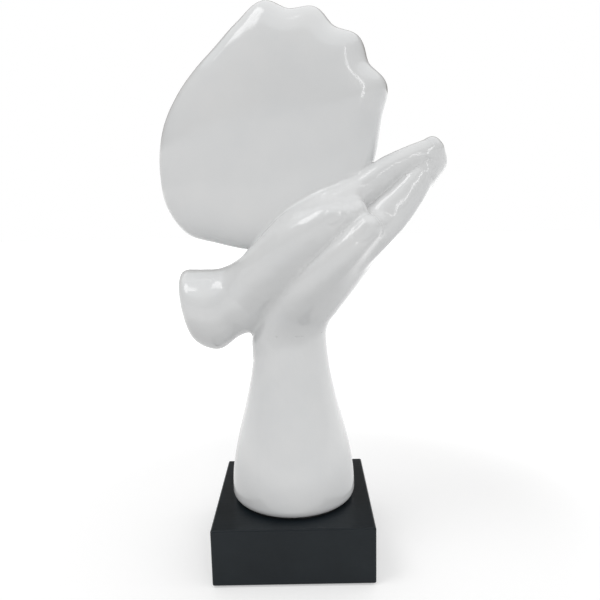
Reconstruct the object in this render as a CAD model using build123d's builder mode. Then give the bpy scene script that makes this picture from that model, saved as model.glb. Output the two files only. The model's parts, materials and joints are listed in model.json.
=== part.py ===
"""Ceramic hand sculpture: two pressed hands on a flared forearm, carrying a scalloped oval, on a black plinth."""

import os
from math import cos, radians, sin

from build123d import *

os.makedirs("parts", exist_ok=True)

# Plinth, pad and fixings
PLINTH_SIDE = 100.0
PLINTH_HEIGHT = 36.5
PLINTH_EDGE = 1.2
FELT_MARGIN = 2.5
FELT_THICKNESS = 1.0
GASKET_THICKNESS = 0.8
GASKET_INSET = 0.6
BOLT_DIAMETER = 8.0
BOLT_LENGTH = 50.0
BOLT_POINT = 1.0
BOLT_HEAD_FLATS = 13.0
BOLT_HEAD_HEIGHT = 5.3
BOLT_PLAY = 0.5
RECESS_DIAMETER = 26.0
RECESS_DEPTH = 10.0
WASHER_DIAMETER = 20.0
WASHER_THICKNESS = 2.0
INSERT_DIAMETER = 13.0
INSERT_FLANGE = 20.0
INSERT_FLANGE_THICKNESS = 2.0
INSERT_LENGTH = 24.0
THREAD_PLAY = 0.1

# Forearm
FOOT_RADIUS = 40.6
FOOT_ROUND = 2.4
WAIST_RADIUS = 30.6
WRIST_RADIUS = 23.4
FOREARM_HEIGHT = 111.7
FLARE_START = 6.0
WAIST_SHARE = 0.55
WALL = 6.0
CAVITY_SHARE = 0.8
CORE_GAP = 0.2

# Frame of the pressed hands: where their parting plane starts, and how it leans
HANDS_BACK = 29.5
HANDS_RISE = 4.7
HANDS_PITCH = 41.2
HANDS_ROLL = 8.0
PARTING_START = 28.0
PARTING_REACH = 160.0
HEEL_GAP = 0.2

# Fingers shared by both hands: place across the hand at knuckle and tip, knuckle offset, radius
KNUCKLES = 104.0
FINGERS = {
    "index": {"base": -22.5, "tip": -17.5, "set": -1.0, "radius": 7.3},
    "middle": {"base": -7.5, "tip": -6.0, "set": 1.0, "radius": 7.6},
    "ring": {"base": 8.0, "tip": 5.5, "set": -2.0, "radius": 7.2},
    "little": {"base": 22.0, "tip": 16.5, "set": -8.0, "radius": 6.0},
}
FINGER_ROOT = 10.0
FINGER_JOINTS = (0.24, 0.5, 0.76)
FINGER_GIRTHS = (1.2, 1.03, 0.98, 0.86, 0.72)
TIP_SWELL = 1.02

# Upper hand: finger lengths, heights above the parting plane
UPPER_LENGTHS = {"index": 56.0, "middle": 60.0, "ring": 56.5, "little": 45.0}
UPPER_LIFTS = {
    "index": (10.9, 8.6, 2.6),
    "middle": (10.6, 7.6, 2.4),
    "ring": (9.8, 7.0, 2.2),
    "little": (8.0, 5.8, 1.9),
}
UPPER_FINGER_DEPTH = 1.25
UPPER_PALM = (
    {"along": 38.0, "lift": 13.2, "breadth": 54.0, "depth": 33.4},
    {"along": 60.0, "lift": 15.5, "breadth": 62.0, "depth": 33.4},
    {"along": 84.0, "lift": 14.5, "breadth": 65.0, "depth": 31.0},
    {"along": 104.0, "lift": 12.0, "breadth": 62.0, "depth": 24.6},
    {"along": 120.0, "lift": 9.6, "breadth": 44.0, "depth": 11.0},
)
UPPER_THUMB = (
    {"along": 10.0, "across": -9.0, "lift": 13.0, "radius": 12.0},
    {"along": 35.0, "across": -22.5, "lift": 11.0, "radius": 13.2},
    {"along": 55.0, "across": -31.0, "lift": 8.4, "radius": 10.6},
    {"along": 76.0, "across": -35.0, "lift": 7.0, "radius": 8.8},
    {"along": 97.0, "across": -35.0, "lift": 2.6, "radius": 6.6},
)

# Stump of the upper hand's wrist
STUMP_X = -27.0
STUMP_RISE = 19.5
STUMP_DIP = 10.0
STUMP_LENGTH = 39.0
STUMP_NECK_DIAMETER = 43.6
STUMP_FLARE_DIAMETER = 52.4
STUMP_END_DIAMETER = 43.0
STUMP_ROUND = 5.0
NECK_SHARE = 0.22
FLARE_SHARE = 0.62
FLARE_DROP = 1.6
END_RAISE = 3.4

# Lower hand: finger lengths, heights below the parting plane
LOWER_LENGTHS = {"index": 50.5, "middle": 55.5, "ring": 53.5, "little": 43.5}
LOWER_LIFTS = {
    "index": (-12.6, -10.8, -5.6),
    "middle": (-12.6, -10.4, -5.4),
    "ring": (-12.4, -10.0, -5.0),
    "little": (-11.0, -8.6, -4.2),
}
LOWER_FINGER_DEPTH = 1.5
LOWER_PALM = (
    {"along": 30.0, "lift": -18.4, "breadth": 46.0, "depth": 36.0},
    {"along": 42.0, "lift": -17.6, "breadth": 55.0, "depth": 37.0},
    {"along": 60.0, "lift": -16.1, "breadth": 62.0, "depth": 34.2},
    {"along": 84.0, "lift": -13.6, "breadth": 64.0, "depth": 29.4},
    {"along": 104.0, "lift": -12.6, "breadth": 62.0, "depth": 26.2},
    {"along": 120.0, "lift": -11.2, "breadth": 40.0, "depth": 13.0},
)
LOWER_THUMB = (
    {"along": 18.0, "across": -9.0, "lift": -15.5, "radius": 10.0},
    {"along": 38.0, "across": -22.0, "lift": -14.2, "radius": 12.6},
    {"along": 56.0, "across": -31.5, "lift": -12.6, "radius": 10.8},
    {"along": 79.0, "across": -36.5, "lift": -10.6, "radius": 9.4},
    {"along": 97.0, "across": -37.0, "lift": -8.6, "radius": 7.8},
)
WRIST_STUB = 40.0

# Scalloped oval: centre above the wrist seam, yaw, thickness, plain part of the rim as angle and radius, scallops
OVAL_X = -8.0
OVAL_Y = 2.0
OVAL_RISE = 125.0
OVAL_YAW = 12.0
OVAL_THICKNESS = 40.0
OVAL_RIM = {
    -160: 78.0,
    -146: 84.0,
    -132: 85.3,
    -118: 79.0,
    -100: 75.0,
    -75: 69.0,
    -45: 66.0,
    -21: 65.4,
    5: 67.2,
    106: 65.4,
    123: 59.5,
    141: 59.4,
    159: 63.0,
    178: 69.6,
}
FULL_TURN = 360
SCALLOPS = 4
SCALLOP_FIRST = 18.5
SCALLOP_LAST = 91.0
SCALLOP_RADIUS = 71.4
SCALLOP_SWELL = 2.2
OVAL_SEAM = -75
OVAL_BAND = ((0.8, 0.86), (0.45, 0.965), (0.0, 1.0), (-0.45, 0.965), (-0.8, 0.86))
OVAL_DOME = ((0.8, 0.86), (0.95, 0.52), (1.0, 0.16))
SCALLOP_FADE = 0.24

# Steel pins between the castings
PIN_DIAMETER = 6.0
PIN_PLAY = 0.1
PIN_BEVEL = 0.6
WRIST_PIN_LENGTH = 26.0
WRIST_PIN_SPACING = 17.0
PALM_PIN_LENGTH = 20.0
PALM_PINS = ((22.0, 7.0), (35.0, -6.0))
OVAL_PIN_LENGTH = 30.0
OVAL_PINS = ((60.0, -3.0, 31.0), (94.0, -8.5, 25.5))

# Levels and frames that follow from the sizes above
FELT_TOP = FELT_THICKNESS
PLINTH_TOP = FELT_TOP + PLINTH_HEIGHT
FOOT_Z = PLINTH_TOP + GASKET_THICKNESS
WRIST_Z = FOOT_Z + FOREARM_HEIGHT
BOLT_SEAT = FELT_TOP + RECESS_DEPTH
BOLT_TIP = BOLT_SEAT - WASHER_THICKNESS + BOLT_LENGTH

lean = radians(HANDS_PITCH)
roll = radians(HANDS_ROLL)
HANDS = Plane(
    origin=(-HANDS_BACK, 0, WRIST_Z + HANDS_RISE),
    x_dir=(cos(lean), 0, sin(lean)),
    z_dir=(-sin(lean) * cos(roll), sin(roll), cos(lean) * cos(roll)),
)
yaw = radians(OVAL_YAW)
OVAL = Plane(
    origin=(OVAL_X, OVAL_Y, WRIST_Z + OVAL_RISE),
    x_dir=(cos(yaw), -sin(yaw), 0),
    z_dir=(-sin(yaw), -cos(yaw), 0),
)
PARTING_SIDE = Plane(origin=HANDS.origin, x_dir=HANDS.x_dir, z_dir=-HANDS.y_dir)
dip = radians(STUMP_DIP)
STUMP_AXIS = Vector(cos(dip), 0, sin(dip))
STUMP_START = Vector(STUMP_X, 0, WRIST_Z + STUMP_RISE)


def hand_plane(along, across, lift):
    """Plane square to the hands' length at a point of the hands' frame."""
    point = HANDS.from_local_coords(Vector(along, across, lift))
    return Plane(origin=point, x_dir=HANDS.y_dir, z_dir=HANDS.x_dir)


def stump_plane(share, rise):
    """Plane square to the stump, at a share of its length back from the wrist, raised off its axis."""
    point = STUMP_START - STUMP_AXIS * STUMP_LENGTH * share + Vector(0, 0, rise)
    return Plane(origin=point, x_dir=(0, 1, 0), z_dir=STUMP_AXIS)


def limb(joints):
    """Finger or thumb lofted through oval joints, closed by a domed tip."""
    last = joints[-1]
    with BuildPart() as shape:
        for joint in joints:
            with BuildSketch(hand_plane(joint["along"], joint["across"], joint["lift"])):
                Ellipse(joint["radius"], joint["radius"] * joint.get("depth", 1))
        loft()
        with Locations(hand_plane(last["along"], last["across"], last["lift"])):
            Sphere(last["radius"] * TIP_SWELL)
    return shape.part


def finger(sizes, length, lifts, depth):
    """Finger from its root inside the palm to its tip, bent through three heights and rounder toward the tip."""
    knuckle = KNUCKLES + sizes["set"]
    tip_radius = sizes["radius"] * FINGER_GIRTHS[-1]
    tip_share = 1 - tip_radius / length
    shares = (-FINGER_ROOT / length, *FINGER_JOINTS, tip_share)
    base_lift, middle_lift, tip_lift = lifts
    joints = []
    for share, girth in zip(shares, FINGER_GIRTHS):
        if share < FINGER_JOINTS[1]:
            lift = base_lift + (middle_lift - base_lift) * max(share, 0) / FINGER_JOINTS[1]
        else:
            bend = (share - FINGER_JOINTS[1]) / (tip_share - FINGER_JOINTS[1])
            lift = middle_lift + (tip_lift - middle_lift) * bend
        joints.append(
            {
                "along": knuckle + share * length,
                "across": sizes["base"] + (sizes["tip"] - sizes["base"]) * max(share, 0),
                "lift": lift,
                "radius": sizes["radius"] * girth,
                "depth": 1 + (depth - 1) * (1 - share / tip_share),
            }
        )
    return limb(joints)


def pin(length):
    """Steel pin centred on its own axis, both ends bevelled."""
    with BuildPart() as shape:
        Cylinder(PIN_DIAMETER / 2, length)
        chamfer(shape.edges().filter_by(GeomType.CIRCLE), PIN_BEVEL)
    return shape.part


# Places of the pins
wrist_pin_places = [
    Location((-WRIST_PIN_SPACING / 2, 0, WRIST_Z)),
    Location((WRIST_PIN_SPACING / 2, 0, WRIST_Z)),
]
palm_pin_places = [HANDS.location * Location((along, across, 0)) for along, across in PALM_PINS]
oval_pin_places = [HANDS.location * Location(place) for place in OVAL_PINS]


# Felt pad under the plinth
with BuildPart() as base_felt:
    with BuildSketch():
        Rectangle(PLINTH_SIDE - 2 * FELT_MARGIN, PLINTH_SIDE - 2 * FELT_MARGIN)
    extrude(amount=FELT_THICKNESS)

# Plinth, bored and counterbored from below for the bolt
with BuildPart() as plinth:
    with BuildSketch(Plane.XY.offset(FELT_TOP)):
        Rectangle(PLINTH_SIDE, PLINTH_SIDE)
    extrude(amount=PLINTH_HEIGHT)
    fillet(plinth.edges(), PLINTH_EDGE)
    with BuildSketch(Plane.XY.offset(FELT_TOP)):
        Circle(BOLT_DIAMETER / 2 + BOLT_PLAY)
    extrude(amount=PLINTH_HEIGHT, mode=Mode.SUBTRACT)
    with BuildSketch(Plane.XY.offset(FELT_TOP)):
        Circle(RECESS_DIAMETER / 2)
    extrude(amount=RECESS_DEPTH, mode=Mode.SUBTRACT)

# Washer against the floor of the counterbore
with BuildPart() as bolt_washer:
    with BuildSketch(Plane.XY.offset(BOLT_SEAT - WASHER_THICKNESS)):
        Circle(WASHER_DIAMETER / 2)
        Circle(BOLT_DIAMETER / 2 + BOLT_PLAY, mode=Mode.SUBTRACT)
    extrude(amount=WASHER_THICKNESS)

# Hex bolt, head in the counterbore
with BuildPart() as mounting_bolt:
    with BuildSketch(Plane.XY.offset(BOLT_SEAT - WASHER_THICKNESS - BOLT_HEAD_HEIGHT)):
        RegularPolygon(BOLT_HEAD_FLATS / 2, 6, major_radius=False)
    extrude(amount=BOLT_HEAD_HEIGHT)
    with BuildSketch(Plane.XY.offset(BOLT_SEAT - WASHER_THICKNESS)):
        Circle(BOLT_DIAMETER / 2)
    extrude(amount=BOLT_LENGTH)
    chamfer(mounting_bolt.faces().sort_by(Axis.Z)[-1].edges(), BOLT_POINT)

# Dark ring between foot and plinth
with BuildPart() as foot_gasket:
    with BuildSketch(Plane.XY.offset(PLINTH_TOP)):
        Circle(FOOT_RADIUS - FOOT_ROUND - GASKET_INSET)
        Circle(FOOT_RADIUS - WALL + GASKET_INSET, mode=Mode.SUBTRACT)
    extrude(amount=GASKET_THICKNESS)

# Forearm: flared outside, hollow inside, bored at the top for the wrist pins
flare_z = FOOT_Z + FLARE_START
waist_z = FOOT_Z + FOREARM_HEIGHT * WAIST_SHARE
cavity_z = FOOT_Z + FOREARM_HEIGHT * CAVITY_SHARE
cavity_radius = WRIST_RADIUS - WALL + (WAIST_RADIUS - WRIST_RADIUS) * (1 - CAVITY_SHARE)
with BuildPart() as forearm:
    with BuildSketch(Plane.XZ):
        with BuildLine():
            Line((0, FOOT_Z), (FOOT_RADIUS - FOOT_ROUND, FOOT_Z))
            RadiusArc((FOOT_RADIUS - FOOT_ROUND, FOOT_Z), (FOOT_RADIUS, FOOT_Z + FOOT_ROUND), -FOOT_ROUND)
            Line((FOOT_RADIUS, FOOT_Z + FOOT_ROUND), (FOOT_RADIUS, flare_z))
            Spline(
                (FOOT_RADIUS, flare_z),
                (WAIST_RADIUS, waist_z),
                (WRIST_RADIUS, WRIST_Z),
                tangents=((0, 1), (0, 1)),
            )
            Line((WRIST_RADIUS, WRIST_Z), (0, WRIST_Z))
            Line((0, WRIST_Z), (0, FOOT_Z))
        make_face()
    revolve(axis=Axis.Z)
    with BuildSketch(Plane.XZ):
        with BuildLine():
            Line((0, FOOT_Z), (FOOT_RADIUS - WALL, FOOT_Z))
            Line((FOOT_RADIUS - WALL, FOOT_Z), (FOOT_RADIUS - WALL, flare_z))
            Spline(
                (FOOT_RADIUS - WALL, flare_z),
                (WAIST_RADIUS - WALL, waist_z),
                (cavity_radius, cavity_z),
                tangents=((0, 1), (0, 1)),
            )
            Line((cavity_radius, cavity_z), (0, cavity_z))
            Line((0, cavity_z), (0, FOOT_Z))
        make_face()
    revolve(axis=Axis.Z, mode=Mode.SUBTRACT)
    with Locations(*wrist_pin_places):
        Cylinder((PIN_DIAMETER + PIN_PLAY) / 2, WRIST_PIN_LENGTH, mode=Mode.SUBTRACT)

# Plaster core poured into the forearm, bored for the threaded insert and for a bolt that reaches past it
with BuildPart() as ballast_core:
    with BuildSketch(Plane.XZ):
        with BuildLine():
            Line((0, FOOT_Z), (FOOT_RADIUS - WALL - CORE_GAP, FOOT_Z))
            Line((FOOT_RADIUS - WALL - CORE_GAP, FOOT_Z), (FOOT_RADIUS - WALL - CORE_GAP, flare_z))
            Spline(
                (FOOT_RADIUS - WALL - CORE_GAP, flare_z),
                (WAIST_RADIUS - WALL - CORE_GAP, waist_z),
                (cavity_radius - CORE_GAP, cavity_z),
                tangents=((0, 1), (0, 1)),
            )
            Line((cavity_radius - CORE_GAP, cavity_z), (0, cavity_z))
            Line((0, cavity_z), (0, FOOT_Z))
        make_face()
    revolve(axis=Axis.Z)
    with BuildSketch(Plane.XY.offset(FOOT_Z)):
        Circle(INSERT_DIAMETER / 2)
    extrude(amount=INSERT_LENGTH, mode=Mode.SUBTRACT)
    with BuildSketch(Plane.XY.offset(FOOT_Z)):
        Circle(INSERT_FLANGE / 2)
    extrude(amount=INSERT_FLANGE_THICKNESS, mode=Mode.SUBTRACT)
    with BuildSketch(Plane.XY.offset(FOOT_Z)):
        Circle(BOLT_DIAMETER / 2 + BOLT_PLAY)
    extrude(amount=BOLT_TIP + BOLT_PLAY - FOOT_Z, mode=Mode.SUBTRACT)

# Brass insert, bored to pass the bolt, its flange flush with the foot of the core
with BuildPart() as threaded_insert:
    with BuildSketch(Plane.XY.offset(FOOT_Z)):
        Circle(INSERT_DIAMETER / 2)
    extrude(amount=INSERT_LENGTH)
    with BuildSketch(Plane.XY.offset(FOOT_Z)):
        Circle(INSERT_FLANGE / 2)
    extrude(amount=INSERT_FLANGE_THICKNESS)
    with BuildSketch(Plane.XY.offset(FOOT_Z)):
        Circle(BOLT_DIAMETER / 2 + THREAD_PLAY)
    extrude(amount=BOLT_TIP - FOOT_Z, mode=Mode.SUBTRACT)

# Lower hand: palm, wrist stub and fingers trimmed at the parting plane, then the thumb
with BuildPart() as lower_hand:
    for station in LOWER_PALM:
        with BuildSketch(hand_plane(station["along"], 0, station["lift"])):
            Ellipse(station["breadth"] / 2, station["depth"] / 2)
    loft()
    with Locations((0, 0, WRIST_Z + WRIST_STUB / 2)):
        Cylinder(WRIST_RADIUS, WRIST_STUB)
    for name, sizes in FINGERS.items():
        add(finger(sizes, LOWER_LENGTHS[name], LOWER_LIFTS[name], LOWER_FINGER_DEPTH))
    split(bisect_by=HANDS, keep=Keep.BOTTOM)
    add(limb(LOWER_THUMB))
    split(bisect_by=Plane.XY.offset(WRIST_Z), keep=Keep.TOP)
    with Locations(*wrist_pin_places):
        Cylinder((PIN_DIAMETER + PIN_PLAY) / 2, WRIST_PIN_LENGTH, mode=Mode.SUBTRACT)
    with Locations(*palm_pin_places):
        Cylinder((PIN_DIAMETER + PIN_PLAY) / 2, PALM_PIN_LENGTH, mode=Mode.SUBTRACT)

# Seat that the lower wrist takes up in the heel of the upper hand
with BuildPart() as wrist_seat:
    with Locations((0, 0, WRIST_Z)):
        Cylinder(WRIST_RADIUS + HEEL_GAP, 2 * WRIST_STUB)
    split(bisect_by=HANDS, keep=Keep.BOTTOM)

# Upper hand: stump, palm and fingers kept clear of the parting plane and the lower wrist, then the thumb
with BuildPart() as upper_hand:
    with BuildSketch(stump_plane(1, END_RAISE)):
        Circle(STUMP_END_DIAMETER / 2)
    with BuildSketch(stump_plane(FLARE_SHARE, -FLARE_DROP)):
        Circle(STUMP_FLARE_DIAMETER / 2)
    with BuildSketch(stump_plane(NECK_SHARE, 0)):
        Circle(STUMP_NECK_DIAMETER / 2)
    for station in UPPER_PALM:
        with BuildSketch(hand_plane(station["along"], 0, station["lift"])):
            Ellipse(station["breadth"] / 2, station["depth"] / 2)
    loft()
    fillet(upper_hand.faces().sort_by(Axis.X)[0].edges(), STUMP_ROUND)
    for name, sizes in FINGERS.items():
        add(finger(sizes, UPPER_LENGTHS[name], UPPER_LIFTS[name], UPPER_FINGER_DEPTH))
    with BuildSketch(PARTING_SIDE):
        with BuildLine():
            Polyline(
                (PARTING_START, 0),
                (PARTING_START + PARTING_REACH, 0),
                (PARTING_START + PARTING_REACH, -PARTING_REACH),
                (PARTING_START - PARTING_REACH * sin(lean), -PARTING_REACH * cos(lean)),
                close=True,
            )
        make_face()
    extrude(amount=PARTING_REACH / 2, both=True, mode=Mode.SUBTRACT)
    add(wrist_seat.part, mode=Mode.SUBTRACT)
    add(limb(UPPER_THUMB))
    add(lower_hand.part, mode=Mode.SUBTRACT)
    with Locations(*palm_pin_places):
        Cylinder((PIN_DIAMETER + PIN_PLAY) / 2, PALM_PIN_LENGTH, mode=Mode.SUBTRACT)
    with Locations(*oval_pin_places):
        Cylinder((PIN_DIAMETER + PIN_PLAY) / 2, OVAL_PIN_LENGTH, mode=Mode.SUBTRACT)

# Scalloped oval: a rounded band with two shallow domes, seated on the back of the upper hand
oval_domes = (OVAL_DOME, [(-level, share) for level, share in OVAL_DOME])
scallop_step = (SCALLOP_LAST - SCALLOP_FIRST) / (2 * SCALLOPS - 2)
rim = {angle: (radius, 0) for angle, radius in OVAL_RIM.items()}
for turn in range(2 * SCALLOPS - 1):
    rim[SCALLOP_FIRST + turn * scallop_step] = (SCALLOP_RADIUS, SCALLOP_SWELL * (-1) ** turn)
rim_points = sorted(rim.items(), key=lambda point: (point[0] - OVAL_SEAM) % FULL_TURN)
with BuildPart() as scalloped_oval:
    for sections in (OVAL_BAND, *oval_domes):
        for level, share in sections:
            fade = max(0, 1 - (1 - share) / SCALLOP_FADE)
            outline = []
            for angle, (radius, swell) in rim_points:
                reach = share * radius + fade * swell
                outline.append((reach * cos(radians(angle)), reach * sin(radians(angle))))
            with BuildSketch(OVAL.offset(level * OVAL_THICKNESS / 2)):
                with BuildLine():
                    Spline(*outline, periodic=True)
                make_face()
        loft()
    add(upper_hand.part, mode=Mode.SUBTRACT)
    with Locations(*oval_pin_places):
        Cylinder((PIN_DIAMETER + PIN_PLAY) / 2, OVAL_PIN_LENGTH, mode=Mode.SUBTRACT)

# Steel pins
with BuildPart(wrist_pin_places[0]) as wrist_dowel_left:
    add(pin(WRIST_PIN_LENGTH))
with BuildPart(wrist_pin_places[1]) as wrist_dowel_right:
    add(pin(WRIST_PIN_LENGTH))
with BuildPart(palm_pin_places[0]) as palm_dowel_heel:
    add(pin(PALM_PIN_LENGTH))
with BuildPart(palm_pin_places[1]) as palm_dowel_fore:
    add(pin(PALM_PIN_LENGTH))
with BuildPart(oval_pin_places[0]) as oval_dowel_rear:
    add(pin(OVAL_PIN_LENGTH))
with BuildPart(oval_pin_places[1]) as oval_dowel_fore:
    add(pin(OVAL_PIN_LENGTH))

# Labels and files
base_felt.part.label = "base_felt"
export_step(base_felt.part, "parts/base_felt.step")
plinth.part.label = "plinth"
export_step(plinth.part, "parts/plinth.step")
bolt_washer.part.label = "bolt_washer"
export_step(bolt_washer.part, "parts/bolt_washer.step")
mounting_bolt.part.label = "mounting_bolt"
export_step(mounting_bolt.part, "parts/mounting_bolt.step")
foot_gasket.part.label = "foot_gasket"
export_step(foot_gasket.part, "parts/foot_gasket.step")
forearm.part.label = "forearm"
export_step(forearm.part, "parts/forearm.step")
ballast_core.part.label = "ballast_core"
export_step(ballast_core.part, "parts/ballast_core.step")
threaded_insert.part.label = "threaded_insert"
export_step(threaded_insert.part, "parts/threaded_insert.step")
wrist_dowel_left.part.label = "wrist_dowel_left"
export_step(wrist_dowel_left.part, "parts/wrist_dowel_left.step")
wrist_dowel_right.part.label = "wrist_dowel_right"
export_step(wrist_dowel_right.part, "parts/wrist_dowel_right.step")
lower_hand.part.label = "lower_hand"
export_step(lower_hand.part, "parts/lower_hand.step")
palm_dowel_heel.part.label = "palm_dowel_heel"
export_step(palm_dowel_heel.part, "parts/palm_dowel_heel.step")
palm_dowel_fore.part.label = "palm_dowel_fore"
export_step(palm_dowel_fore.part, "parts/palm_dowel_fore.step")
upper_hand.part.label = "upper_hand"
export_step(upper_hand.part, "parts/upper_hand.step")
oval_dowel_rear.part.label = "oval_dowel_rear"
export_step(oval_dowel_rear.part, "parts/oval_dowel_rear.step")
oval_dowel_fore.part.label = "oval_dowel_fore"
export_step(oval_dowel_fore.part, "parts/oval_dowel_fore.step")
scalloped_oval.part.label = "scalloped_oval"
export_step(scalloped_oval.part, "parts/scalloped_oval.step")
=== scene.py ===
"""Looks of the ceramic hand sculpture: four castings under one glaze, a lacquered plinth, a pale studio."""

import json
from math import radians

import bpy
import numpy as np
from mathutils import Matrix, Vector


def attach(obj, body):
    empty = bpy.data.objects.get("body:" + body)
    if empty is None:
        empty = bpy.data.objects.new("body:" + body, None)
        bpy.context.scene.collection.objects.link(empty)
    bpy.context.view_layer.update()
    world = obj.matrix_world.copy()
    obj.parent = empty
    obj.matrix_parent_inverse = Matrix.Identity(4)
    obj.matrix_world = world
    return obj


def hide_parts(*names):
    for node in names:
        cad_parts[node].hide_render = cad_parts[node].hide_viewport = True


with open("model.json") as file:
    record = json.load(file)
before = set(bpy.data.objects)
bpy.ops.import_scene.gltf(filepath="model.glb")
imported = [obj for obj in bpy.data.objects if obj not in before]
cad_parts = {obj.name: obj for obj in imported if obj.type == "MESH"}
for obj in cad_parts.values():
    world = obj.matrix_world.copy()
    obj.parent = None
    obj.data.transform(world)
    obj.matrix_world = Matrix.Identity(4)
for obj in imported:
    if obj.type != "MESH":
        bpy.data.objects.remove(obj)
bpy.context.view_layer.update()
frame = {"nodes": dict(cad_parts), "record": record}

BODY = "root"
METRES = 0.001

# Forearm, in millimetres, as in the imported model
FOOT_Z = 38.3
WRIST_Z = 150.0
FOOT_RADIUS = 40.6
FOOT_ROUND = 2.4
WAIST_RADIUS = 30.6
WRIST_RADIUS = 23.4
FLARE_Z = 44.3
WAIST_Z = 99.735
WALL = 6.0
CAVITY_TOP = 127.66
CAVITY_TOP_RADIUS = 18.84

# Frame of the pressed hands: along the hands, across them, and up from the parting plane
HANDS_ORIGIN = np.array((-29.5, 0.0, 154.7))
HANDS_PITCH = radians(41.2)
HANDS_ROLL = radians(8.0)
HEEL_X = -6.0

# Fingers: place across the hand at knuckle and tip, knuckle offset, radius, then lengths from the knuckle
KNUCKLES = 104.0
FINGERS = {
    "index": {"base": -22.5, "tip": -17.5, "set": -1.0, "radius": 7.3},
    "middle": {"base": -7.5, "tip": -6.0, "set": 1.0, "radius": 7.6},
    "ring": {"base": 8.0, "tip": 5.5, "set": -2.0, "radius": 7.2},
    "little": {"base": 22.0, "tip": 16.5, "set": -8.0, "radius": 6.0},
}
UPPER_LENGTHS = {"index": 59.5, "middle": 60.0, "ring": 56.5, "little": 45.0}
LOWER_LENGTHS = {"index": 47.5, "middle": 55.5, "ring": 53.5, "little": 43.5}
FINGER_ROOT = 20.0
FINGER_SHARES = (0.24, 0.5, 0.76)
FINGER_GIRTHS = (0.9, 1.04, 0.98, 0.9, 0.8)
BEND_SHARE = 0.5
FINGER_WEB = 5.0
FINGER_GROOVE = 3.5

# Upper hand. Fingers: lifts at knuckle, middle joint and tip. Palm: along, lift, half breadth, half depth.
# Thumb and pads of flesh: along, across, lift, radius. Web of the thumb: places along the hand, reaches.
UPPER_LIFTS = {
    "index": (12.4, 8.8, 0.9),
    "middle": (10.0, 6.8, 0.6),
    "ring": (9.3, 6.4, 1.2),
    "little": (7.6, 5.4, 1.4),
}
UPPER_PALM = (
    (2.0, 13.8, 20.5, 20.0),
    (20.0, 13.4, 24.0, 18.6),
    (38.0, 13.2, 27.0, 16.7),
    (60.0, 15.5, 31.0, 16.7),
    (84.0, 14.5, 32.3, 15.4),
    (104.0, 12.0, 30.6, 11.8),
    (118.0, 9.8, 22.0, 5.6),
)
UPPER_THUMB = (
    (10.0, -8.0, 13.0, 12.5),
    (35.0, -22.0, 13.4, 12.0),
    (56.0, -30.5, 13.4, 10.0),
    (76.0, -34.5, 12.0, 8.4),
    (90.0, -35.2, 8.6, 7.2),
    (99.0, -33.6, 2.0, 5.8),
)
UPPER_THENAR = (
    (4.0, -4.0, 8.0, 9.0),
    (22.0, -14.5, 6.0, 11.0),
    (45.0, -22.0, 5.0, 10.5),
    (65.0, -28.0, 4.5, 8.8),
    (80.0, -30.5, 3.6, 7.8),
    (92.0, -30.5, 2.4, 6.8),
)
UPPER_OUTER_PAD = (
    (14.0, 11.0, 9.0, 9.0),
    (36.0, 17.5, 8.5, 9.0),
    (60.0, 21.5, 8.5, 9.0),
    (84.0, 23.0, 8.0, 8.2),
    (98.0, 22.0, 8.0, 7.5),
)
UPPER_MOUND = (
    (40.0, -15.0, 18.0, 9.0),
    (56.0, -19.0, 21.0, 9.0),
    (68.0, -20.5, 21.6, 9.0),
    (80.0, -21.0, 19.6, 9.0),
    (91.0, -21.0, 17.0, 8.5),
    (100.0, -20.0, 14.0, 7.5),
)
UPPER_WEB = ((20.0, 45.0, 70.0, 95.0), (14.0, 16.0, 15.0, 8.0))
UPPER_FINGER_DEPTH = {"index": 1.04, "middle": 1.3, "ring": 1.3, "little": 1.3}
UPPER_FINGER_SQUARENESS = 2.0
TIP_DROOP = ((150.0, 158.0), (0.0, 7.0))
PAD_GIRTH = 0.92
PAD_INSET = 5.8
PAD_SQUARENESS = 3.0

# Lower hand, in the same terms
LOWER_LIFTS = {
    "index": (-12.8, -10.4, -6.9),
    "middle": (-11.6, -8.8, -5.6),
    "ring": (-11.4, -8.6, -5.4),
    "little": (-11.0, -8.0, -4.6),
}
LOWER_PALM = (
    (6.0, -20.0, 13.0, 11.0),
    (22.0, -18.6, 21.0, 17.6),
    (30.0, -18.4, 23.0, 17.8),
    (42.0, -17.6, 27.5, 18.3),
    (60.0, -16.1, 31.0, 17.0),
    (84.0, -13.6, 32.0, 14.6),
    (104.0, -12.2, 30.6, 11.6),
    (118.0, -11.4, 21.0, 7.2),
)
LOWER_THUMB = (
    (4.0, -2.0, -20.0, 8.0),
    (20.0, -12.0, -12.8, 9.8),
    (37.0, -22.5, -12.2, 10.8),
    (56.0, -31.5, -11.8, 10.0),
    (79.0, -36.5, -11.0, 9.0),
    (97.0, -37.0, -9.6, 7.8),
)
LOWER_OUTER_PAD = (
    (26.0, 11.0, -9.0, 9.0),
    (44.0, 18.0, -8.5, 9.0),
    (62.0, 21.5, -8.5, 9.0),
    (84.0, 23.0, -8.0, 8.2),
    (98.0, 22.0, -8.0, 7.5),
)
LOWER_WEB = ((30.0, 80.0, 97.0), (11.0, 11.0, 9.0))
LOWER_FINGER_DEPTH = {"index": 1.58, "middle": 1.3, "ring": 1.3, "little": 1.4}
LOWER_FINGER_SQUARENESS = 2.4
LOWER_THUMB_SQUARENESS = 2.3

# Both hands: section of limbs and palms, joins of flesh, and the flat faces at the parting plane
ROUND = 2.0
PALM_SQUARENESS = 2.2
FLESH_WEB = 8.0
PARTING_GAP = 0.05
PARTING_ROUND = 0.8
WRIST_DROP = 1.0
WRIST_TOP_ROUND = 4.0
HEEL_ROUND = 2.0

# Nails of the thumbs, as shares of the tip's radius, and the unevenness of the clay
NAIL_BACK = 0.25
NAIL_LENGTH = 0.95
NAIL_WIDTH = 0.66
NAIL_EDGE = 0.16
NAIL_SQUARENESS = 3
NAIL_TURN = 3
NAIL_GROOVE = 0.28
RIPPLE = 0.06

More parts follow.
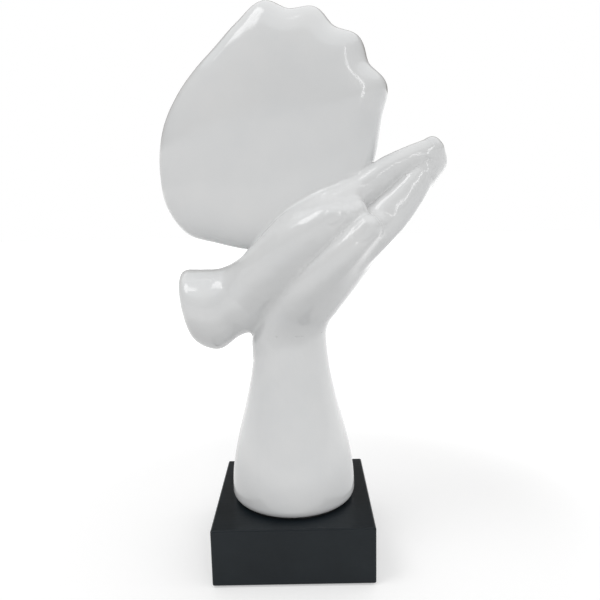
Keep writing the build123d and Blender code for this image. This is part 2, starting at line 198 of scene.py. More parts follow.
# Stump of the upper hand: shares of its length from the wrist, rise off its axis, radius
STUMP_START = np.array((-27.0, 0.0, 169.5))
STUMP_DIP = radians(10.0)
STUMP_LENGTH = 39.0
STUMP_ROUND = 7.0
STUMP_BLEND = 6.0
STUMP_SECTIONS = (
    (-0.5, 0.0, 18.0),
    (0.22, 0.0, 21.8),
    (0.62, -1.6, 26.2),
    (1.0, 3.4, 23.6),
    (1.1, 4.4, 22.6),
)

# Scalloped oval: centre, yaw, half thickness, plain rim as angle and radius, scallops
OVAL_ORIGIN = np.array((-8.0, 2.0, 275.0))
OVAL_YAW = radians(12.0)
OVAL_HALF = 20.0
OVAL_RIM = {
    -160: 78.0,
    -146: 84.0,
    -132: 85.3,
    -118: 79.0,
    -100: 75.0,
    -75: 69.0,
    -45: 66.0,
    -21: 65.4,
    5: 67.2,
    106: 65.4,
    123: 59.5,
    141: 59.4,
    159: 63.0,
    178: 69.6,
}
SCALLOPS = 4
SCALLOP_FIRST = 18.5
SCALLOP_LAST = 91.0
SCALLOP_RADIUS = 71.4
SCALLOP_SWELL = 2.2
SCALLOP_REACH = 0.3
OVAL_SQUARENESS = 3.4
RIM_SAMPLES = 3000

# Steel pins inside the castings: radius of their bores, half lengths, places
BORE_RADIUS = 3.05
WRIST_PINS = ((-8.5, 13.0), (8.5, 13.0))
PALM_PINS = ((22.0, 7.0, 0.0, 10.0), (35.0, -6.0, 0.0, 10.0))
OVAL_PINS = ((60.0, -3.0, 31.0, 15.0), (94.0, -8.5, 25.5, 15.0))

# How far the glaze rounds each meeting of two castings, and what fills the clefts between the hands
WRIST_BLEND = 6.0
PALMS_BLEND = ((30.0, 88.0, 100.0, 138.0, 150.0), (3.4, 3.4, 3.0, 3.0, 6.0))
TIP_CAP = ((140.0, -12.0, -6.5, 9.0), (151.5, -12.8, -4.0, 9.6))
TIP_BLEND = 6.0
CORE = (
    (60.0, 0.0, 24.0, 4.0),
    (101.0, 0.0, 27.5, 4.0),
    (108.0, 0.0, 20.0, 4.0),
    (130.0, 0.0, 14.0, 4.0),
    (142.0, 0.0, 11.0, 3.0),
)
POCKET = ((82.0, -26.0, 0.0, 4.5), (96.5, -29.2, -0.3, 4.5))
OVAL_BLEND = 3.0

# Meshing: overlap at the seams, cell sizes, a box round each casting, limits of the search for the surface
SEAM_OVERLAP = 0.25
COARSE = 1.0
HAND_STEP = 0.85 * COARSE
PLAIN_STEP = 1.1 * COARSE
FOREARM_BOX = ((-45, -45, 34), (45, 45, 154))
LOWER_BOX = ((-32, -54, 146), (102, 40, 270))
UPPER_BOX = ((-80, -54, 134), (104, 42, 282))
OVAL_BOX = ((-90, -40, 196), (72, 45, 354))
BLOCK = 4
NEAR_BLOCKS = 1.3
CHUNK = 300000
TINY = 1e-12
LEAST_SLOPE = 0.05
EDGE_CELLS = 0.7
SHARP_ANGLE = radians(50)

# Studio, in metres: the floor's own glow near the object and where it turns white, the light of the sky,
# the drape that paints dark reflections and the two soft boxes
FLOOR_HALF = 3.0
FLOOR_TONE = 0.66
FLOOR_GLOW = 0.4
SHADOW_REACH = 0.16
WHITE_REACH = 0.5
SKY_LIGHT = 0.62
SKY_LEAN = (0.25, -0.05, 0.2)
DRAPE_RADIUS = 1.6
DRAPE_HEIGHTS = (0.5, 1.6)
DRAPE_FOLDS = 48
DRAPE_REFLECTION_TINT = (1.0, 0.65, 0.3)
DRAPE_GLOW = 0.06
KEY_BOX = {"place": (0.27, -0.95, 0.64), "target": (0, 0, 0.25), "size": (0.05, 0.6), "power": 0.6}
TOP_BOX = {"place": (-0.5, -0.3, 1.03), "target": (0, 0, 0.2), "size": (0.45, 0.45), "power": 2.5}

# Camera fitted to the plinth's edges, in millimetres and degrees
CAMERA_PLACE = (9.1, -393.6, 236.3)
CAMERA_YAW = 0.34
CAMERA_PITCH = -9.78
CAMERA_ROLL = 1.23
CAMERA_LENS = 37.32
CAMERA_SENSOR = 36.0
CAMERA_NEAR = 0.01


def smooth_min(a, b, reach):
    """Union of two distances with a fillet of the given reach."""
    share = np.clip(0.5 + 0.5 * (b - a) / reach, 0, 1)
    return b + (a - b) * share - reach * share * (1 - share)


def smooth_max(a, b, reach):
    """Intersection of two distances with a round of the given reach."""
    return -smooth_min(-a, -b, reach)


def smooth_curve(keys, values, samples=400):
    """Dense samples of a smooth curve through the given keys, for np.interp."""
    keys = np.asarray(keys, float)
    values = np.asarray(values, float)
    slopes = np.gradient(values, keys)
    x = np.linspace(keys[0], keys[-1], samples)
    i = np.clip(np.searchsorted(keys, x, side="right") - 1, 0, len(keys) - 2)
    h = keys[i + 1] - keys[i]
    t = (x - keys[i]) / h
    rise = values[i + 1] - values[i]
    a = slopes[i] * h - rise
    b = rise - slopes[i + 1] * h
    return x, values[i] + t * rise + t * (1 - t) * ((1 - t) * a + t * b)


def hand_axes():
    """Directions along the hands, across them and up from the parting plane."""
    cp, sp = np.cos(HANDS_PITCH), np.sin(HANDS_PITCH)
    cr, sr = np.cos(HANDS_ROLL), np.sin(HANDS_ROLL)
    along = np.array((cp, 0, sp))
    up = np.array((-sp * cr, sr, cp * cr))
    return np.stack((along, np.cross(up, along), up), axis=1)


HAND_AXES = hand_axes()


def in_hands(points):
    """Points in the frame of the hands."""
    return (points - HANDS_ORIGIN) @ HAND_AXES


def limb(points, joints, power=ROUND):
    """Distance to a round-ended limb through joints of along, across, lift, radius and any depth share."""
    joints = np.asarray(joints, float)
    along = np.clip(points[:, 0], joints[0, 0], joints[-1, 0])
    across, lift, radius, *depth = (
        np.interp(along, *smooth_curve(joints[:, 0], column)) for column in joints.T[1:]
    )
    sizes = np.stack((radius, radius, radius * depth[0] if depth else radius), axis=1)
    shares = np.abs(points - np.stack((along, across, lift), axis=1)) / sizes
    level = ((shares**power).sum(1) + TINY) ** (1 / power)
    slope = level ** (1 - power) * np.sqrt(((shares ** (power - 1) / sizes) ** 2).sum(1))
    return (level - 1) / np.maximum(slope, 0.5 / sizes.max(1))


def finger_joints(sizes, length, lifts, depth):
    """Joints of a finger from its root inside the palm to its tip, tall at the root and round at the tip."""
    base, middle, tip = lifts
    tip_share = 1 - sizes["radius"] * FINGER_GIRTHS[-1] / length
    joints = []
    for share, girth in zip((-FINGER_ROOT / length, *FINGER_SHARES, tip_share), FINGER_GIRTHS):
        if share < BEND_SHARE:
            lift = base + (middle - base) * max(share, 0) / BEND_SHARE
        else:
            lift = middle + (tip - middle) * (share - BEND_SHARE) / (tip_share - BEND_SHARE)
        along = KNUCKLES + sizes["set"] + share * length
        across = sizes["base"] + (sizes["tip"] - sizes["base"]) * max(share, 0)
        tallness = 1 + (depth - 1) * np.sqrt(1 - share / tip_share)
        joints.append((along, across, lift, sizes["radius"] * girth, tallness))
    return joints


def palm(points, stations):
    """Distance to a palm swept through stations of along, lift, half breadth and half depth."""
    stations = np.asarray(stations, float)
    along = np.clip(points[:, 0], stations[0, 0], stations[-1, 0])
    lift, breadth, depth = (
        np.interp(along, *smooth_curve(stations[:, 0], column)) for column in stations.T[1:]
    )
    across = np.abs(points[:, 1]) / breadth
    height = np.abs(points[:, 2] - lift) / depth
    power = PALM_SQUARENESS
    level = (across**power + height**power + TINY) ** (1 / power)
    slope = level ** (1 - power) * np.hypot(across ** (power - 1) / breadth, height ** (power - 1) / depth)
    side = (level - 1) / slope
    beyond = np.abs(points[:, 0] - along)
    return np.where(beyond > 0, np.hypot(np.maximum(side, 0), beyond) + np.minimum(side, 0), side)


def stump(points):
    """Distance to the flared stump behind the upper hand's wrist."""
    axis = np.array((np.cos(STUMP_DIP), 0, np.sin(STUMP_DIP)))
    side = np.array((-np.sin(STUMP_DIP), 0, np.cos(STUMP_DIP)))
    offset = points - STUMP_START
    back = -(offset @ axis) / STUMP_LENGTH
    sections = np.asarray(STUMP_SECTIONS, float)
    share = np.clip(back, sections[0, 0], sections[-1, 0])
    rise = np.interp(share, *smooth_curve(sections[:, 0], sections[:, 1]))
    radius = np.interp(share, *smooth_curve(sections[:, 0], sections[:, 2]))
    round_ = np.hypot(points[:, 1], offset @ side - rise) - radius
    length = np.maximum(back - 1, sections[0, 0] - back) * STUMP_LENGTH
    return smooth_max(round_, length, STUMP_ROUND)


def turned(points, keys, radii):
    """Distance to the side of a turned body, smooth through three levels and upright at both ends."""
    first, second = keys[1] - keys[0], keys[2] - keys[1]
    drops = (radii[1] - radii[0]) / first**2 + (radii[2] - radii[1]) / second**2
    slope = 1.5 * drops / (1 / first + 1 / second)
    z = np.clip(points[:, 2], keys[0], keys[2])
    lower = z < keys[1]
    start = np.where(lower, radii[0], radii[1])
    end = np.where(lower, radii[1], radii[2])
    length = np.where(lower, first, second)
    t = np.where(lower, z - keys[0], z - keys[1]) / length
    start_slope = np.where(lower, 0, slope) * length
    end_slope = np.where(lower, slope, 0) * length
    rise = end - start
    radius = start + t * rise + t * (1 - t) * ((1 - t) * (start_slope - rise) + t * (rise - end_slope))
    return np.hypot(points[:, 0], points[:, 1]) - radius


def arm_part(points):
    """Distance to the outside of the forearm, carried on as the wrist up to the parting plane."""
    keys = (FLARE_Z, WAIST_Z, WRIST_Z)
    side = turned(points, keys, (FOOT_RADIUS, WAIST_RADIUS, WRIST_RADIUS))
    return smooth_max(side, in_hands(points)[:, 2] + WRIST_DROP, WRIST_TOP_ROUND)


def pad(joints):
    """Flesh under the upper index finger, set back from its side and down on the parting plane."""
    joints = np.array(joints, float)
    joints[:, 1] += PAD_INSET * np.linspace(1, 0, len(joints))
    joints[:, 3] *= PAD_GIRTH
    joints[:, 2] = np.minimum(joints[:, 2], joints[:, 3] * joints[:, 4])
    return joints


def union(distances, reach):
    """Filleted union of several distances."""
    total = distances[0]
    for one in distances[1:]:
        total = smooth_min(total, one, reach)
    return total


def nail(local, tip):
    """Depth of the groove round a thumb's nail, at a tip of along, across, lift and radius."""
    along = (local[:, 0] - tip[0] + NAIL_BACK * tip[3]) / (NAIL_LENGTH * tip[3])
    lift = (local[:, 2] - tip[2]) / (NAIL_WIDTH * tip[3])
    power = NAIL_SQUARENESS
    ring = (np.abs(along) ** power + np.abs(lift) ** power + TINY) ** (1 / power)
    front = np.clip(NAIL_TURN * (tip[1] - local[:, 1]) / tip[3], 0, 1)
    return front * NAIL_GROOVE * np.exp(-(((ring - 1) / NAIL_EDGE) ** 2))


def ripple(points):
    """Slight unevenness of hand-worked clay."""
    x, y, z = points.T
    wide = np.sin(x / 6.1 + 0.8) * np.sin(y / 5.3 + 1.9) * np.sin(z / 6.7 + 0.3)
    close = np.sin((x + z) / 2.4 + 0.5) * np.sin((z - x) / 3.1 + y / 2.9)
    return RIPPLE * (wide + 0.6 * close)


def four_fingers(local, lengths, lifts, depths, power, padded=()):
    """Distance to the fingers of one hand, some with a pad under them."""
    fingers = []
    for name, sizes in FINGERS.items():
        joints = finger_joints(sizes, lengths[name], lifts[name], depths[name])
        fingers.append(limb(local, joints, power))
        if name in padded:
            fingers.append(limb(local, pad(joints), PAD_SQUARENESS))
    return union(fingers, FINGER_GROOVE)


def lower_hand_part(points):
    """Distance to the lower hand without its wrist."""
    local = in_hands(points)
    fingers = four_fingers(local, LOWER_LENGTHS, LOWER_LIFTS, LOWER_FINGER_DEPTH, LOWER_FINGER_SQUARENESS)
    body = smooth_min(palm(local, LOWER_PALM), fingers, FINGER_WEB)
    body = smooth_max(body, local[:, 2] + PARTING_GAP, PARTING_ROUND)
    body = smooth_min(body, limb(local, LOWER_OUTER_PAD), FLESH_WEB)
    web = np.interp(local[:, 0], *LOWER_WEB)
    body = smooth_min(body, limb(local, LOWER_THUMB, LOWER_THUMB_SQUARENESS), web)
    return body + nail(local, LOWER_THUMB[-1]) + ripple(points)


def lower_part(points):
    """Distance to the lower hand, its wrist and the forearm under it."""
    return smooth_min(arm_part(points), lower_hand_part(points), WRIST_BLEND)


def upper_part(points):
    """Distance to the upper hand with its stump, its heel hollowed to lie against the lower wrist."""
    local = in_hands(points)
    fingers = four_fingers(
        local, UPPER_LENGTHS, UPPER_LIFTS, UPPER_FINGER_DEPTH, UPPER_FINGER_SQUARENESS, padded=("index",)
    )
    body = smooth_min(palm(local, UPPER_PALM), fingers, FINGER_WEB)
    body = smooth_min(body, stump(points), STUMP_BLEND)
    heel = smooth_max(WRIST_RADIUS - np.hypot(points[:, 0], points[:, 1]), points[:, 0] - HEEL_X, HEEL_ROUND)
    parting = PARTING_GAP - np.interp(local[:, 0], *TIP_DROOP) - local[:, 2]
    body = smooth_max(body, smooth_min(parting, heel, HEEL_ROUND), PARTING_ROUND)
    for flesh in (UPPER_THENAR, UPPER_MOUND, UPPER_OUTER_PAD):
        body = smooth_min(body, limb(local, flesh), FLESH_WEB)
    web = np.interp(local[:, 0], *UPPER_WEB)
    body = smooth_min(body, limb(local, UPPER_THUMB), web)
    return body + nail(local, UPPER_THUMB[-2]) + ripple(points)


def rim_curves():
    """Plain and scalloped radius of the oval's rim over one turn, for np.interp."""
    step = (SCALLOP_LAST - SCALLOP_FIRST) / (2 * SCALLOPS - 2)
    rim = {angle: (radius, radius) for angle, radius in OVAL_RIM.items()}
    for turn in range(2 * SCALLOPS - 1):
        swell = SCALLOP_SWELL * (-1) ** turn
        rim[SCALLOP_FIRST + turn * step] = (SCALLOP_RADIUS, SCALLOP_RADIUS + swell)
    angles = np.array(sorted(rim))
    radii = np.array([rim[angle] for angle in angles])
    angles = np.concatenate((angles - 360, angles, angles + 360))
    radii = np.concatenate((radii, radii, radii))
    return [smooth_curve(angles, column, RIM_SAMPLES) for column in radii.T]


PLAIN_RIM, SCALLOPED_RIM = rim_curves()


def oval_part(points):
    """Distance to the scalloped oval."""
    offset = points - OVAL_ORIGIN
    across = offset @ np.array((np.cos(OVAL_YAW), -np.sin(OVAL_YAW), 0))
    depth = np.abs(offset @ np.array((np.sin(OVAL_YAW), np.cos(OVAL_YAW), 0))) / OVAL_HALF
    reach = np.hypot(across, offset[:, 2])
    angle = np.degrees(np.arctan2(offset[:, 2], across))
    plain = np.interp(angle, *PLAIN_RIM)
    fade = np.clip((reach / plain - 1 + SCALLOP_REACH) / SCALLOP_REACH, 0, 1)
    radius = plain + (np.interp(angle, *SCALLOPED_RIM) - plain) * fade * fade * (3 - 2 * fade)
    share = reach / radius
    power = OVAL_SQUARENESS
    level = (share**power + depth**power + TINY) ** (1 / power)
    slope = level ** (1 - power) * np.hypot(share ** (power - 1) / radius, depth ** (power - 1) / OVAL_HALF)
    return (level - 1) / np.maximum(slope, 1e-4)


def rod(points, axis, centre, half_length, radius):
    """Distance to a plain rod."""
    offset = points - centre
    run = offset @ axis
    gap = offset - run[:, None] * axis
    return np.maximum(np.sqrt((gap * gap).sum(1)) - radius, np.abs(run) - half_length)


def wrist_bores(points):
    """Distance to the bores of the wrist pins."""
    up = np.array((0.0, 0.0, 1.0))
    rods = [rod(points, up, np.array((x, 0.0, WRIST_Z)), half, BORE_RADIUS) for x, half in WRIST_PINS]
    return np.minimum(*rods)


def hand_bores(points, pins):
    """Distance to the bores of pins that stand on the hands' parting plane."""
    centres = [HANDS_ORIGIN + HAND_AXES @ np.array(pin[:3]) for pin in pins]
    rods = [rod(points, HAND_AXES[:, 2], centre, pin[3], BORE_RADIUS) for centre, pin in zip(centres, pins)]
    return np.minimum(*rods)


def pressed(points, lower, upper):
    """Both hands under one glaze, with no voids between them and the clefts of the fingertips filled."""
    local = in_hands(points)
    hands = smooth_min(lower, upper, np.interp(local[:, 0], *PALMS_BLEND))
    hands = np.minimum(hands, np.minimum(palm(local, CORE), limb(local, POCKET)))
    return smooth_min(hands, limb(local, TIP_CAP), TIP_BLEND)


def forearm_fields(points):
    """Glaze surface and cuts of the forearm."""
    lower, upper = lower_part(points), upper_part(points)
    foot = smooth_max(pressed(points, lower, upper), FOOT_Z - points[:, 2], FOOT_ROUND * 2)
    keys = (FLARE_Z, WAIST_Z, CAVITY_TOP)
    cavity = turned(points, keys, (FOOT_RADIUS - WALL, WAIST_RADIUS - WALL, CAVITY_TOP_RADIUS))
    cavity = np.maximum(cavity, points[:, 2] - CAVITY_TOP)
    cuts = np.maximum(points[:, 2] - WRIST_Z, (lower - upper) / 2) - SEAM_OVERLAP
    return foot, np.maximum(np.maximum(cuts, -cavity), -wrist_bores(points))


def lower_fields(points):
    """Glaze surface and cuts of the lower hand."""
    lower, upper = lower_part(points), upper_part(points)
    outside = pressed(points, lower, upper)
    cuts = np.maximum(WRIST_Z - points[:, 2], (lower - upper) / 2) - SEAM_OVERLAP
    bores = np.minimum(wrist_bores(points), hand_bores(points, PALM_PINS))
    return outside, np.maximum(cuts, -bores)


def upper_fields(points):
    """Glaze surface and cuts of the upper hand."""
    lower, upper, oval = lower_part(points), upper_part(points), oval_part(points)
    outside = smooth_min(pressed(points, lower, upper), oval, OVAL_BLEND)
    cuts = np.maximum((upper - lower) / 2, upper - np.maximum(oval, 0)) - SEAM_OVERLAP
    bores = np.minimum(hand_bores(points, PALM_PINS), hand_bores(points, OVAL_PINS))
    return outside, np.maximum(cuts, -bores)


def oval_fields(points):
    """Glaze surface and cuts of the oval."""
    upper, oval = upper_part(points), oval_part(points)
    outside = smooth_min(upper, oval, OVAL_BLEND)
    cuts = np.maximum(oval, 0) - upper - SEAM_OVERLAP
    return outside, np.maximum(cuts, -hand_bores(points, OVAL_PINS))


def in_chunks(fields, points):
    """Both fields at many points, a chunk at a time."""
    parts = [fields(points[i : i + CHUNK]) for i in range(0, len(points), CHUNK)]
    return np.concatenate([part[0] for part in parts]), np.concatenate([part[1] for part in parts])


def sample(fields, low, high, step):
    """Values of the solid on a grid, worked out closely only near its surface."""
    blocks = np.ceil((high - low) / (step * BLOCK)).astype(int)
    corner = np.stack(np.meshgrid(*[np.arange(n) for n in blocks], indexing="ij"), -1).reshape(-1, 3)
    centres = low + (corner * BLOCK + (BLOCK - 1) / 2) * step
    rough = np.maximum(*in_chunks(fields, centres))
    near = np.abs(rough) < NEAR_BLOCKS * BLOCK * step
    values = np.repeat(np.repeat(np.repeat(rough.reshape(blocks), BLOCK, 0), BLOCK, 1), BLOCK, 2)
    inner = np.stack(np.meshgrid(*[np.arange(BLOCK)] * 3, indexing="ij"), -1).reshape(-1, 3)
    cells = (corner[near][:, None] * BLOCK + inner).reshape(-1, 3)
    values[tuple(cells.T)] = np.maximum(*in_chunks(fields, low + cells * step))
    return values


CORNERS = np.array([(i, j, k) for i in (0, 1) for j in (0, 1) for k in (0, 1)])
CELL_EDGES = [
    (a, b) for a in range(8) for b in range(a + 1, 8) if np.abs(CORNERS[a] - CORNERS[b]).sum() == 1
]


def surface(values):
    """Quads between the cells that the surface crosses, with one vertex in each cell."""
    inside = values < 0
    window = [slice(0, -1), slice(1, None)]
    count = sum(inside[window[i], window[j], window[k]].astype(np.int8) for i, j, k in CORNERS)
    active = (count > 0) & (count < 8)
    cells = np.argwhere(active)
    index = np.full(active.shape, -1)
    index[active] = np.arange(len(cells))
    at_corner = [values[tuple((cells + corner).T)] for corner in CORNERS]
    total = np.zeros((len(cells), 3))
    crossings = np.zeros(len(cells))
    for a, b in CELL_EDGES:
        crossed = (at_corner[a] < 0) != (at_corner[b] < 0)
        share = np.where(crossed, at_corner[a] / np.where(crossed, at_corner[a] - at_corner[b], 1), 0)
        total += crossed[:, None] * (CORNERS[a] + share[:, None] * (CORNERS[b] - CORNERS[a]))
        crossings += crossed
    vertices = cells + total / crossings[:, None]
    quads = []
    for axis in range(3):
        second, third = (axis + 1) % 3, (axis + 2) % 3
        start, stop = [slice(None)] * 3, [slice(None)] * 3
        start[axis], stop[axis] = slice(0, -1), slice(1, None)
        crossed = np.argwhere(inside[tuple(start)] != inside[tuple(stop)])
        ends_inside = inside[tuple(stop)][tuple(crossed.T)]
        ring = []
        for back_second, back_third in ((1, 1), (0, 1), (0, 0), (1, 0)):
            cell = crossed.copy()
            cell[:, second] -= back_second
            cell[:, third] -= back_third
            ring.append(index[tuple(cell.T)])
        ring = np.stack(ring, 1)
        ring[ends_inside] = ring[ends_inside][:, ::-1]
        quads.append(ring)
    return vertices, np.concatenate(quads)


def gradients(fields, points, gap=0.02):
    """Values and slopes of both fields."""
    slopes = [[], []]
    for axis in range(3):
        shift = np.zeros(3)
        shift[axis] = gap
        ahead, behind = in_chunks(fields, points + shift), in_chunks(fields, points - shift)
        for slot in (0, 1):
            slopes[slot].append((ahead[slot] - behind[slot]) / (2 * gap))
    return in_chunks(fields, points), [np.stack(slope, 1) for slope in slopes]


def pull(points, value, slope, limit):
    """Points moved along a slope toward the zero of a field."""
    move = value[:, None] * slope / np.maximum((slope * slope).sum(1), LEAST_SLOPE)[:, None]
    length = np.sqrt((move * move).sum(1))
    return points - move * np.minimum(1, limit / np.maximum(length, TINY))[:, None]


def settle(fields, points, step, rounds=3):
    """Vertices pulled onto the exact surface, and onto its edge where the glaze meets a cut."""
    for _ in range(rounds):
        (skin, cut), (skin_slope, cut_slope) = gradients(fields, points)
        edge = np.maximum(np.abs(skin), np.abs(cut)) < EDGE_CELLS * step
        on_skin = (skin > cut) | edge
        points = np.where(on_skin[:, None], pull(points, skin, skin_slope, step / 2), points)
        on_cut = (cut >= skin) | edge
        points = np.where(on_cut[:, None], pull(points, cut, cut_slope, step / 2), points)
    return points


def cast(name, fields, box, step):
    """A casting meshed from its fields, as an object that stands for the node of the same name."""
    low, high = np.array(box, float)
    vertices, quads = surface(sample(fields, low, high, step))
    vertices = settle(fields, low + vertices * step, step)
    mesh = bpy.data.meshes.new(name + "_glazed")
    mesh.from_pydata((vertices * METRES).tolist(), [], quads.tolist())
    mesh.validate()
    mesh.shade_smooth()
    mesh.set_sharp_from_angle(angle=SHARP_ANGLE)
    piece = bpy.data.objects.new(name + "_glazed", mesh)
    bpy.context.scene.collection.objects.link(piece)
    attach(piece, BODY)
    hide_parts(name)
    return piece


class Nodes:
    """Short way to build a material's node tree."""

    def __init__(self, name):
        self.material = bpy.data.materials.new(name)
        self.material.use_nodes = True
        self.tree = self.material.node_tree
        self.shader = self.tree.nodes["Principled BSDF"]

    def add(self, kind, **settings):
        """A new node, with settings for its inputs or properties."""
        node = self.tree.nodes.new(kind)
        for key, value in settings.items():
            if key in node.inputs:
                node.inputs[key].default_value = value
            else:
                setattr(node, key, value)
        return node

    def link(self, source, target):
        """Join two sockets."""
        self.tree.links.new(source, target)

    def noise(self, scale, detail=2.0, roughness=0.5, stretch=(1, 1, 1)):
        """Noise in the coordinates of the object."""
        place = self.add("ShaderNodeTexCoord")
        mapping = self.add("ShaderNodeMapping")
        mapping.inputs["Scale"].default_value = stretch
        node = self.add("ShaderNodeTexNoise", Scale=scale, Detail=detail, Roughness=roughness)
        self.link(place.outputs["Object"], mapping.inputs["Vector"])
        self.link(mapping.outputs["Vector"], node.inputs["Vector"])
        return node.outputs["Fac"]

    def ramp(self, factor, stops):
        """Colours along a factor."""
        node = self.add("ShaderNodeValToRGB")
        elements = node.color_ramp.elements
        while len(elements) < len(stops):
            elements.new(0.5)
        for element, (position, colour) in zip(elements, stops):
            element.position = position
            element.color = (*colour, 1)
        self.link(factor, node.inputs["Fac"])
        return node.outputs["Color"]

    def span(self, factor, low, high):
        """Values from low to high along a factor."""
        node = self.add("ShaderNodeMapRange")
        node.inputs["To Min"].default_value = low
        node.inputs["To Max"].default_value = high
        self.link(factor, node.inputs["Value"])
        return node.outputs["Result"]

    def bump(self, height, strength, distance):
        """Relief on top of any that is there."""
        node = self.add("ShaderNodeBump", Strength=strength, Distance=distance)
        previous = self.shader.inputs["Normal"].links
        if previous:
            self.link(previous[0].from_socket, node.inputs["Normal"])
        self.link(height, node.inputs["Height"])
        self.link(node.outputs["Normal"], self.shader.inputs["Normal"])

    def set(self, **values):
        """Constant values on the shader's own sockets."""
        for key, value in values.items():
            self.shader.inputs[key.replace("_", " ")].default_value = value

    def finish(self, colour=None, roughness=None):
        """The material, with its colour and roughness joined."""
        if colour:
            self.link(colour, self.shader.inputs["Base Color"])
        if roughness:
            self.link(roughness, self.shader.inputs["Roughness"])
        return self.material


def white_glaze():
    """Glossy white glaze with faint random variation of tone and the slight ripple of a dipped surface."""
    nodes = Nodes("white_glaze")
    tone = nodes.ramp(
        nodes.noise(26, 3.0, 0.55),
        ((0.3, (0.735, 0.745, 0.75)), (0.7, (0.775, 0.78, 0.78))),
    )
    gloss = nodes.span(nodes.noise(60, 4.0), 0.07, 0.15)
    nodes.bump(nodes.noise(70, 2.0), 0.08, 0.002)
    nodes.bump(nodes.noise(900, 1.0), 0.03, 0.0004)
    nodes.set(IOR=1.5)
    return nodes.finish(tone, gloss)


def black_lacquer():
    """Satin black lacquer over close-grained wood, with faint rubbing marks."""
    nodes = Nodes("black_lacquer")
    tone = nodes.ramp(
        nodes.noise(30, 4.0, 0.6),
        ((0.3, (0.006, 0.0095, 0.0125)), (0.75, (0.011, 0.016, 0.02))),
    )
    gloss = nodes.span(nodes.noise(45, 5.0, 0.65), 0.24, 0.4)
    nodes.bump(nodes.noise(60, 4.0, 0.6, (1, 9, 9)), 0.06, 0.001)
    nodes.bump(nodes.noise(1500, 1.0), 0.04, 0.0002)
    nodes.set(IOR=1.32)
    return nodes.finish(tone, gloss)


def black_rubber():
    """Matte rubber with a fine moulded grain."""
    nodes = Nodes("black_rubber")
    tone = nodes.ramp(nodes.noise(120, 4.0), ((0.3, (0.012, 0.012, 0.012)), (0.7, (0.026, 0.026, 0.026))))
    nodes.bump(nodes.noise(1600, 2.0), 0.3, 0.0002)
    return nodes.finish(tone, nodes.span(nodes.noise(200), 0.65, 0.85))


def felt():
    """Dense felt with short tangled fibres."""
    nodes = Nodes("felt")
    stops = ((0.25, (0.012, 0.012, 0.014)), (0.8, (0.05, 0.05, 0.056)))
    tone = nodes.ramp(nodes.noise(700, 6.0, 0.7), stops)
    nodes.bump(nodes.noise(1100, 6.0, 0.75), 0.8, 0.0005)
    nodes.set(Sheen_Weight=0.3)
    return nodes.finish(tone, nodes.span(nodes.noise(500), 0.85, 1.0))


def plaster():
    """Cast plaster with small air holes."""
    nodes = Nodes("plaster")
    tone = nodes.ramp(nodes.noise(90, 5.0, 0.6), ((0.3, (0.68, 0.66, 0.62)), (0.7, (0.79, 0.77, 0.73))))
    nodes.bump(nodes.noise(400, 3.0, 0.7), 0.4, 0.0006)
    return nodes.finish(tone, nodes.span(nodes.noise(150), 0.8, 0.95))


def metal(name, dark, light, stretch):
    """Metal with tool marks drawn out along one direction."""
    nodes = Nodes(name)
    marks = nodes.noise(350, 4.0, 0.6, stretch)
    tone = nodes.ramp(marks, ((0.3, dark), (0.7, light)))
    nodes.bump(marks, 0.15, 0.0002)
    nodes.set(Metallic=1.0)
    return nodes.finish(tone, nodes.span(nodes.noise(120), 0.22, 0.42))


MATERIALS = {
    "white_glaze": white_glaze(),
    "black_lacquer": black_lacquer(),
    "black_rubber": black_rubber(),
    "felt": felt(),
    "plaster": plaster(),
    "brass": metal("brass", (0.55, 0.4, 0.18), (0.72, 0.55, 0.28), (1, 1, 12)),
    "steel": metal("steel", (0.45, 0.46, 0.47), (0.62, 0.62, 0.63), (8, 8, 1)),
}


def dress_nodes():
    """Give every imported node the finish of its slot."""
    for entry in frame["record"]["subparts"]:
        node = frame["nodes"][entry["node"]]
        material = MATERIALS[entry["material_slot"]]
        if not node.material_slots:
            node.data.materials.append(material)
        for holder in node.material_slots:
            holder.material = material


def make_castings():
    """The four glazed castings."""
    castings = (
        cast("forearm", forearm_fields, FOREARM_BOX, PLAIN_STEP),
        cast("lower_hand", lower_fields, LOWER_BOX, HAND_STEP),
        cast("upper_hand", upper_fields, UPPER_BOX, HAND_STEP),
        cast("scalloped_oval", oval_fields, OVAL_BOX, PLAIN_STEP),
    )
    for piece in castings:
        piece.data.materials.append(MATERIALS["white_glaze"])


def seen_directly(tree):
    """Factor that is one for what the camera sees straight, in a reflection or through glass."""
    path = tree.nodes.new("ShaderNodeLightPath")
    total = path.outputs["Is Camera Ray"]
    for ray in ("Is Glossy Ray", "Is Transmission Ray"):
        either = tree.nodes.new("ShaderNodeMath")
        either.operation = "MAXIMUM"
        tree.links.new(total, either.inputs[0])
        tree.links.new(path.outputs[ray], either.inputs[1])
        total = either.outputs["Value"]
    return total


